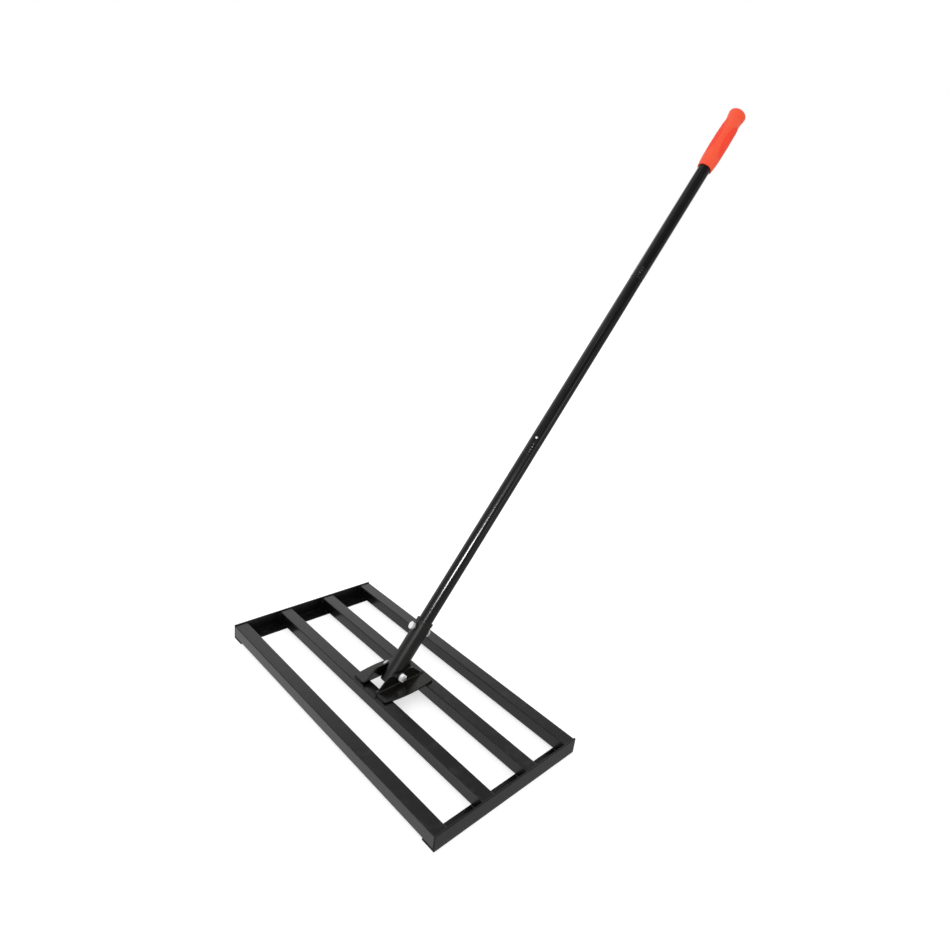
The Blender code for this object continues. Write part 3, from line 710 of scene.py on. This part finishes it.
def gloss_enamel(name):
    """Black enamel: long orange peel that wobbles the highlight, hairline rubs along the tube,
    and bare dull steel inside the bore."""
    material, wire, shader = new_finish(name)
    place = wire.node("ShaderNodeTexCoord", {}, {}, "Object")
    along = wire.node("ShaderNodeMapping", {"vector_type": "TEXTURE"},
                      {"Vector": place, "Location": on_handle.to_translation(),
                       "Rotation": on_handle.to_euler()})
    stretched = wire.node("ShaderNodeMapping", {}, {"Vector": along, "Scale": (1, 1, 0.06)})
    flattened = wire.node("ShaderNodeMapping", {}, {"Vector": along, "Scale": (1, 1, 0)})
    from_axis = wire.node("ShaderNodeVectorMath", {"operation": "LENGTH"}, {0: flattened}, "Value")
    bare = from_axis.step(TUBE_BORE + 0.0004, TUBE_BORE + 0.0001)
    clouds = grain(wire, along, 11, 3, 0.6)
    peel = grain(wire, along, 190, 2)
    waves = grain(wire, along, 46, 1)
    fine = grain(wire, along, 1300, 2, 0.6)
    hairlines = grain(wire, stretched, 1500, 3, 0.65).step(0.62, 0.72)
    handled = grain(wire, stretched, 90, 4, 0.6).step(0.50, 0.72)
    dust = grain(wire, along, 2100, 1).step(0.69, 0.75)
    colour = clouds.step(0.35, 0.7).colours(GLOSS_BLACK, GLOSS_BLACK_PALE)
    colour = (hairlines * 0.10 + dust * 0.20).colours(colour, RUBBED_COAT)
    colour = bare.colours(colour, BARE_STEEL)
    roughness = 0.13 + 0.05 * clouds + 0.05 * handled + 0.02 * hairlines + 0.30 * bare
    relief = peel * 0.06 + waves * 0.17 + fine * 0.01
    bump = wire.node("ShaderNodeBump", {}, {"Strength": 0.5, "Distance": 0.00008, "Height": relief})
    wire.feed(shader, {"Base Color": colour, "Roughness": roughness, "Metallic": 0.6 * bare,
                       "Normal": bump})
    return material


def button_station(above):
    """How far up the handle the button sits that locks this tube to the one below it."""
    return next(foot for name, foot, *_ in TUBES if name == above) + BUTTON_STATION


enamel = gloss_enamel("gloss_black_enamel")
for name, foot, length, has_rings, has_spigot in TUBES:
    top = foot + length
    rings = [(TUBE_BORE, foot + 0.0003), (TUBE_BORE + 0.0003, foot), (TUBE_RADIUS - 0.0002, foot),
             (TUBE_RADIUS, foot + 0.0002)]
    if has_rings:
        for number in range(RING_COUNT):
            middle = foot + FIRST_RING + number * RING_PITCH
            for share in (-1, -0.6, -0.3, 0, 0.3, 0.6, 1):
                depth = RING_DEPTH * (0.5 + 0.5 * math.cos(math.pi * share))
                rings.append((TUBE_RADIUS - depth, middle + share * RING_HALF))
    if has_spigot:
        spigot_top = top + SPIGOT_LENGTH
        rings += [(TUBE_RADIUS, top - 0.0013), (TUBE_RADIUS - 0.0002, top - 0.0009),
                  (SPIGOT_RADIUS, top), (SPIGOT_RADIUS, spigot_top - 0.0003),
                  (SPIGOT_RADIUS - 0.0003, spigot_top), (SPIGOT_BORE, spigot_top),
                  (SPIGOT_BORE, top - 0.004), (TUBE_BORE, top - 0.008)]
    else:
        rings += [(TUBE_RADIUS, top - 0.0003), (TUBE_RADIUS - 0.0003, top), (TUBE_BORE, top)]
    rings.append(rings[0])
    tube = seal(draw_up(f"{name}_tube", rings, sides=96))
    if name == "lower":
        cut(tube, drill_bit(BOLT_HOLE, THROUGH_BIT, (0, 0, CLAMP_STATION), clamp_turn))
    for _, below, above, turn in BUTTONS:
        if name in (below, above):
            outwards = Vector((math.sin(turn), -math.cos(turn), 0))
            hole = outwards * TUBE_RADIUS + Vector((0, 0, button_station(above)))
            cut(tube, drill_bit(BUTTON_HOLE, WALL_BIT, hole, (math.pi / 2, 0, turn)))
    fit(put(seal(tube), on_handle), enamel, "handle_black", "handle", f"handle_tube_{name}")


# SNAP BUTTONS
# Bright domed buttons that lock two tubes together; only the dome shows. The bent strips inside
# are the CAD's own solids, which stand turned away from their buttons.
BUTTON_RADIUS = 0.0026
BUTTON_TOP = 0.0152
BUTTON_HEAD = 0.004
BUTTON_SEAT = 0.00922
BUTTON_FOOT = BUTTON_SEAT - 0.0009
BUTTON_EDGE = 0.0001
BUTTON_STEPS = 9
DOME_FLATNESS = 0.6
SPRING_BLUE = (0.115, 0.125, 0.160, 1)
SPRING_STRAW = (0.300, 0.255, 0.190, 1)

for name, _, above, turn in BUTTONS:
    rings = [(POINT, BUTTON_FOOT), (BUTTON_HEAD - BUTTON_EDGE, BUTTON_FOOT),
             (BUTTON_HEAD, BUTTON_SEAT - 0.0008), (BUTTON_HEAD, BUTTON_SEAT - BUTTON_EDGE),
             (BUTTON_HEAD - BUTTON_EDGE, BUTTON_SEAT), (BUTTON_RADIUS, BUTTON_SEAT)]
    for step in range(BUTTON_STEPS):
        angle = math.pi / 2 * step / BUTTON_STEPS
        fall = DOME_FLATNESS * BUTTON_RADIUS * (1 - math.sin(angle))
        rings.append((BUTTON_RADIUS * math.cos(angle), BUTTON_TOP - fall))
    rings.append((POINT, BUTTON_TOP))
    button = seal(draw_up(f"{name}_domed_button", rings, sides=40))
    seat = (Matrix.Translation((0, 0, button_station(above))) @ Matrix.Rotation(turn, 4, "Z")
            @ Matrix.Rotation(math.pi / 2, 4, "X"))
    fit(put(button, on_handle @ seat), zinc, "zinc", f"{name}_button", f"{name}_snap_button")

spring_finish, wire, shader = new_finish("tempered_spring_steel")
place = wire.node("ShaderNodeTexCoord", {}, {}, "Object")
temper = grain(wire, place, 120, 3, 0.6)
scale_marks = grain(wire, place, 900, 3, 0.6)
bump = wire.node("ShaderNodeBump", {},
                 {"Strength": 0.4, "Distance": 0.00003, "Height": scale_marks})
colour = temper.step(0.35, 0.65).colours(SPRING_BLUE, SPRING_STRAW)
wire.feed(shader, {"Base Color": colour, "Metallic": 1.0, "Roughness": 0.32 + 0.2 * scale_marks,
                   "Normal": bump})
for name in ("lower_button_spring", "upper_button_spring"):
    spring = frame["nodes"][name]
    spring.data.materials.clear()
    spring.data.materials.append(spring_finish)


# GRIP
# Moulded in soft orange-red vinyl and pushed over the tube's end. It swells in the palm, has
# a bulb at the tip, and two long sunk pads with fine cross ribs, one on each side.
GRIP_FOOT = 1.1656
GRIP_KNOTS = ((0.0, 0.0155), (0.012, 0.0170), (0.032, 0.0182), (0.060, 0.0188), (0.104, 0.0179),
              (0.1235, 0.0162), (0.143, 0.0184))
GRIP_DOME = 0.0074
GRIP_BORE = 0.0133
GRIP_BORE_DEPTH = 0.1463
GRIP_SIDES = 128
GRIP_STEPS = 220
CAP_STEPS = 18
PAD_FACE = math.radians(27)
PAD_TURN = math.radians(70)
PAD_HALF_TURN = math.radians(53)
PAD_MIDDLE = 0.0690
PAD_HALF_LENGTH = 0.0410
PAD_DEPTH = 0.0007
PAD_SQUARENESS = 2.4
PAD_SLOPE = 0.07
RIB_PITCH = 0.0026
RIB_RISE = 0.00022
SEAM_RISE = 0.00012
SEAM_HALF = 0.0006
VINYL = (1.0, 0.094, 0.026, 1)
VINYL_DEEP = (1.0, 0.046, 0.010, 1)
VINYL_GRIME = (0.42, 0.060, 0.030, 1)


def grip_radius(distance):
    """Radius at a distance from the mouth: a smooth curve through the grip's knots."""
    slopes = [(GRIP_KNOTS[1][1] - GRIP_KNOTS[0][1]) / GRIP_KNOTS[1][0]]
    for (z0, r0), (z1, r1), (z2, r2) in zip(GRIP_KNOTS, GRIP_KNOTS[1:], GRIP_KNOTS[2:]):
        before, after = (r1 - r0) / (z1 - z0), (r2 - r1) / (z2 - z1)
        slopes.append((before + after) / 2 if before * after > 0 else 0.0)
    slopes.append(0.0)
    index = max(i for i in range(len(GRIP_KNOTS) - 1) if distance >= GRIP_KNOTS[i][0])
    (start, low), (end, high) = GRIP_KNOTS[index:index + 2]
    span = end - start
    t = (distance - start) / span
    return ((1 + 2 * t) * (1 - t) ** 2 * low + t * (1 - t) ** 2 * span * slopes[index]
            + t ** 2 * (3 - 2 * t) * high + t ** 2 * (t - 1) * span * slopes[index + 1])


grip_rings = [(POINT, GRIP_BORE_DEPTH), (GRIP_BORE, GRIP_BORE_DEPTH), (GRIP_BORE, 0.0004),
              (GRIP_BORE + 0.0003, 0.0), (GRIP_KNOTS[0][1] - 0.0004, 0.0),
              (grip_radius(0.0004) - 0.0001, 0.0002)]
bulb_station, bulb_radius = GRIP_KNOTS[-1]
for step in range(1, GRIP_STEPS + 1):
    distance = bulb_station * step / GRIP_STEPS
    grip_rings.append((grip_radius(distance), distance))
for step in range(1, CAP_STEPS):
    angle = math.pi / 2 * step / CAP_STEPS
    grip_rings.append((bulb_radius * math.cos(angle), bulb_station + GRIP_DOME * math.sin(angle)))
grip_rings.append((POINT, bulb_station + GRIP_DOME))
grip = draw_up("vinyl_grip", grip_rings, GRIP_SIDES)
pad_mark = grip.data.attributes.new("pad", "FLOAT", "POINT")
for corner in grip.data.vertices:
    radius = corner.co.xy.length
    if radius > GRIP_BORE + 0.0008 and corner.co.z > 0.001:
        turn = math.atan2(corner.co.x, -corner.co.y) - PAD_FACE
        turn = (turn + math.pi) % (2 * math.pi) - math.pi
        across = (abs(turn) - PAD_TURN) / PAD_HALF_TURN
        along = (corner.co.z - PAD_MIDDLE) / PAD_HALF_LENGTH
        reach = abs(across) ** PAD_SQUARENESS + abs(along) ** PAD_SQUARENESS
        rim = 1 - reach ** (1 / PAD_SQUARENESS)
        sunk = min(1.0, max(0.0, rim / PAD_SLOPE))
        sunk = sunk * sunk * (3 - 2 * sunk)
        rib = 0.5 + 0.5 * math.cos(2 * math.pi * corner.co.z / RIB_PITCH)
        seam = max(0.0, 1 - abs(abs(turn) - math.pi) * radius / SEAM_HALF)
        pad_mark.data[corner.index].value = sunk
        scale = 1 - (sunk * (PAD_DEPTH - RIB_RISE * rib) - SEAM_RISE * seam) / radius
        corner.co.x *= scale
        corner.co.y *= scale

vinyl, wire, shader = new_finish("orange_red_vinyl")
place = wire.node("ShaderNodeTexCoord", {}, {}, "Object")
pad = wire.node("ShaderNodeAttribute", {"attribute_name": "pad"}, {}, "Fac")
mottle = grain(wire, place, 38, 4, 0.6)
pores = grain(wire, place, 1500, 3, 0.6)
pebbles = wire.node("ShaderNodeTexVoronoi", {}, {"Vector": place, "Scale": 820}, "Distance")
grime = grain(wire, place, 64, 4, 0.7).step(0.56, 0.78)
nicks = grain(wire, place, 900, 1).step(0.70, 0.76)
colour = (0.35 * mottle.step(0.3, 0.7) + 0.85 * pad).colours(VINYL, VINYL_DEEP)
colour = (0.10 * grime * (0.3 + pad) + 0.25 * nicks).colours(colour, VINYL_GRIME)
relief = pores * 0.35 + pad * pebbles * 1.4
bump = wire.node("ShaderNodeBump", {}, {"Strength": 0.6, "Distance": 0.00012, "Height": relief})
wire.feed(shader, {"Base Color": colour, "Normal": bump,
                   "Roughness": 0.46 + 0.10 * mottle + 0.16 * pad,
                   "Subsurface Weight": 0.06, "Subsurface Radius": (0.004, 0.0012, 0.0006),
                   "Subsurface Scale": 0.5})
grip_place = on_handle @ Matrix.Translation((0, 0, GRIP_FOOT))
fit(put(seal(grip, angle=45), grip_place), vinyl, "grip_orange", "handle", "grip")


# FLOOR AND BACKDROP
# A plain white studio floor that keeps the shadow, and a white world all round it. Cards that only
# reflections see stand in for a studio's dim and bright parts, so black paint stays black; the
# floor sheet under the frame is dimmer, as painted shade.
# One of them is a narrow dark strip on the floor, just inside the left rail: painted shade, seen
# only in reflections, that keeps the bars' walls dark there.
FLOOR_WHITE = (0.70, 0.70, 0.70, 1)
FLOOR_GLOW = 0.55
AMBIENT = 0.97
WHITE = (1, 1, 1, 1)
CARD_AIM = (0, 0, 0.4)
CEILING = 3.4
FLOOR_SHEET = 0.0004
DARK_STRIP = 0.0007


def seen_directly(wire):
    """1 for what the camera sees, itself, mirrored or through glass, and 0 for scattered light."""
    rays = [wire.node("ShaderNodeLightPath", {}, {}, name)
            for name in ("Is Camera Ray", "Is Glossy Ray", "Is Transmission Ray")]
    return wire.maths("MAXIMUM", rays[0], wire.maths("MAXIMUM", rays[1], rays[2]))


floor = begin(bpy.ops.mesh.primitive_plane_add, "studio_floor", size=30)
floor_paint, wire, _ = new_finish("floor_paint")
seen = seen_directly(wire)
matt = wire.node("ShaderNodeBsdfDiffuse", {}, {"Color": FLOOR_WHITE})
glow = wire.node("ShaderNodeEmission", {}, {"Color": WHITE, "Strength": seen * FLOOR_GLOW})
lit = wire.node("ShaderNodeAddShader", {}, {0: matt, 1: glow})
wire.feed(floor_paint.node_tree.nodes["Material Output"], {"Surface": lit})
floor.data.materials.append(floor_paint)

world = bpy.data.worlds.new("white_studio")
bpy.context.scene.world = world
world.use_nodes = True
wire = Wire(world.node_tree)
seen = seen_directly(wire)
wire.feed(world.node_tree.nodes["Background"],
          {"Color": WHITE, "Strength": AMBIENT + (1 - AMBIENT) * seen})


def reflected(made, name, brightness):
    """Gives a staged plane its brightness, seen by reflections alone."""
    paint, wire, _ = new_finish(name)
    glow = wire.node("ShaderNodeEmission", {}, {"Color": WHITE, "Strength": brightness})
    wire.feed(paint.node_tree.nodes["Material Output"], {"Surface": glow})
    made.data.materials.append(paint)
    made.visible_camera = False
    made.visible_diffuse = False
    made.visible_transmission = False
    made.visible_shadow = False


def card(name, place, size, brightness):
    """A flat card that faces the object."""
    made = begin(bpy.ops.mesh.primitive_plane_add, name, size=1)
    aim = (Vector(CARD_AIM) - Vector(place)).to_track_quat("Z", "Y").to_matrix().to_4x4()
    made.data.transform(Matrix.Translation(place) @ aim @ Matrix.Diagonal((*size, 1, 1)))
    reflected(made, name, brightness)


def sheet(name, low, high, height, brightness):
    """A level sheet from its low to its high corner."""
    made = begin(bpy.ops.mesh.primitive_plane_add, name, size=1,
                 scale=(high[0] - low[0], high[1] - low[1], 1),
                 location=((low[0] + high[0]) / 2, (low[1] + high[1]) / 2, height))
    reflected(made, name, brightness)


sheet("back_ceiling", (-3.3, 0.2), (3.5, 4.2), CEILING, 0.30)
sheet("left_ceiling", (-2.6, -3.0), (0.0, 0.2), CEILING, 0.55)
sheet("right_ceiling", (0.0, -3.0), (3.5, 0.2), CEILING, 0.20)
sheet("front_floor", (-3.0, -3.0), (0.306, -0.40), FLOOR_SHEET, 0.85)
# Painted shade: in reflections, the floor under the frame is dimmer than the floor in front of it.
sheet("inner_floor", (-3.0, -0.40), (0.306, -0.13), FLOOR_SHEET, 0.62)
# Painted shade: a dark strip, seen only in reflections, where the floor by the left rail lies in
# the frame's shade.
sheet("left_rail_floor", (-0.278, -0.455), (-0.260, -0.170), DARK_STRIP, 0.06)
sheet("right_floor", (0.306, -3.0), (5.0, 4.0), FLOOR_SHEET, 0.42)
sheet("back_floor", (-4.0, -0.13), (0.306, 4.0), FLOOR_SHEET, 0.38)
card("back_panel", (-3.7, 2.6, 2.0), (5.0, 2.0), 1.4)
card("left_card", (-3.2, -0.3, 0.9), (2.6, 2.2), 0.85)
card("front_left_card", (-1.5, -2.6, 1.9), (3.4, 2.8), 0.42)
card("front_right_card", (2.9, -1.5, 0.9), (3.0, 2.2), 0.28)
card("right_high_card", (2.8, 0.1, 2.9), (4.0, 2.6), 0.14)
card("right_back_card", (2.4, 2.6, 0.9), (4.4, 2.6), 0.32)
card("side_panel", (1.42, 0.25, 0.66), (0.6, 0.36), 1.20)
card("high_panel", (0.55, -0.75, 2.0), (0.30, 0.30), 1.3)


# LAMPS
# A broad soft light over the camera's shoulder, which reflections don't see. Two smaller ones
# in front of it light only the pieces they name: one draws the stripe on the tubes and
# brightens the zinc, the other gives the stripe's faint end on the socket.
def softbox(name, place, aim, size, power, lit=()):
    """A lamp that lights everything, or only the pieces named."""
    bpy.ops.object.light_add(type="AREA", location=place)
    lamp = bpy.context.object
    lamp.name = name
    lamp.rotation_mode = "QUATERNION"
    lamp.rotation_quaternion = (Vector(aim) - Vector(place)).to_track_quat("-Z", "Y")
    lamp.data.shape = "RECTANGLE"
    lamp.data.size = size[0]
    lamp.data.size_y = size[1]
    lamp.data.energy = power
    lamp.visible_camera = False
    lamp.visible_glossy = bool(lit)
    if lit:
        lamp.light_linking.receiver_collection = bpy.data.collections.new(f"lit_by_{name}")
        for piece in lit:
            lamp.light_linking.receiver_collection.objects.link(bpy.data.objects[piece])


BRIGHT_PIECES = ("lower_tube", "middle_tube", "upper_tube", "lower_domed_button",
                 "upper_domed_button", "pivot_hexagon_nut", "clamp_hexagon_bolt",
                 "clamp_thin_nut")
LOWER_TUBE_AIM = (0, -0.18, 0.24)
STRIPE_SIZE = (0.62, 0.30)
softbox("broad_softbox", (1.29, -2.02, 1.54), LOWER_TUBE_AIM, (1.6, 1.2), power=9)
softbox("stripe_softbox", (1.265, -1.985, 1.525), LOWER_TUBE_AIM, STRIPE_SIZE, power=38,
        lit=BRIGHT_PIECES)
softbox("socket_softbox", (1.240, -1.950, 1.510), LOWER_TUBE_AIM, STRIPE_SIZE, power=11,
        lit=("socket_tube",))


# CAMERA
# The photograph's own view, solved from its edges: close, from above, over the right front
# corner.
CAMERA_PLACE = (0.778658, -0.960418, 0.816991)
CAMERA_DEGREES = (69.89708, -8.05762, 43.90312)

bpy.ops.object.camera_add(location=CAMERA_PLACE,
                          rotation=[math.radians(angle) for angle in CAMERA_DEGREES])
camera = bpy.context.object
camera.data.sensor_width = 36
camera.data.lens = 25.20255
camera.data.shift_x = -0.045978
camera.data.shift_y = -0.003370
camera.data.clip_start = 0.01
camera.data.clip_end = 100
bpy.context.scene.camera = camera
bpy.context.scene.view_settings.view_transform = "Standard"
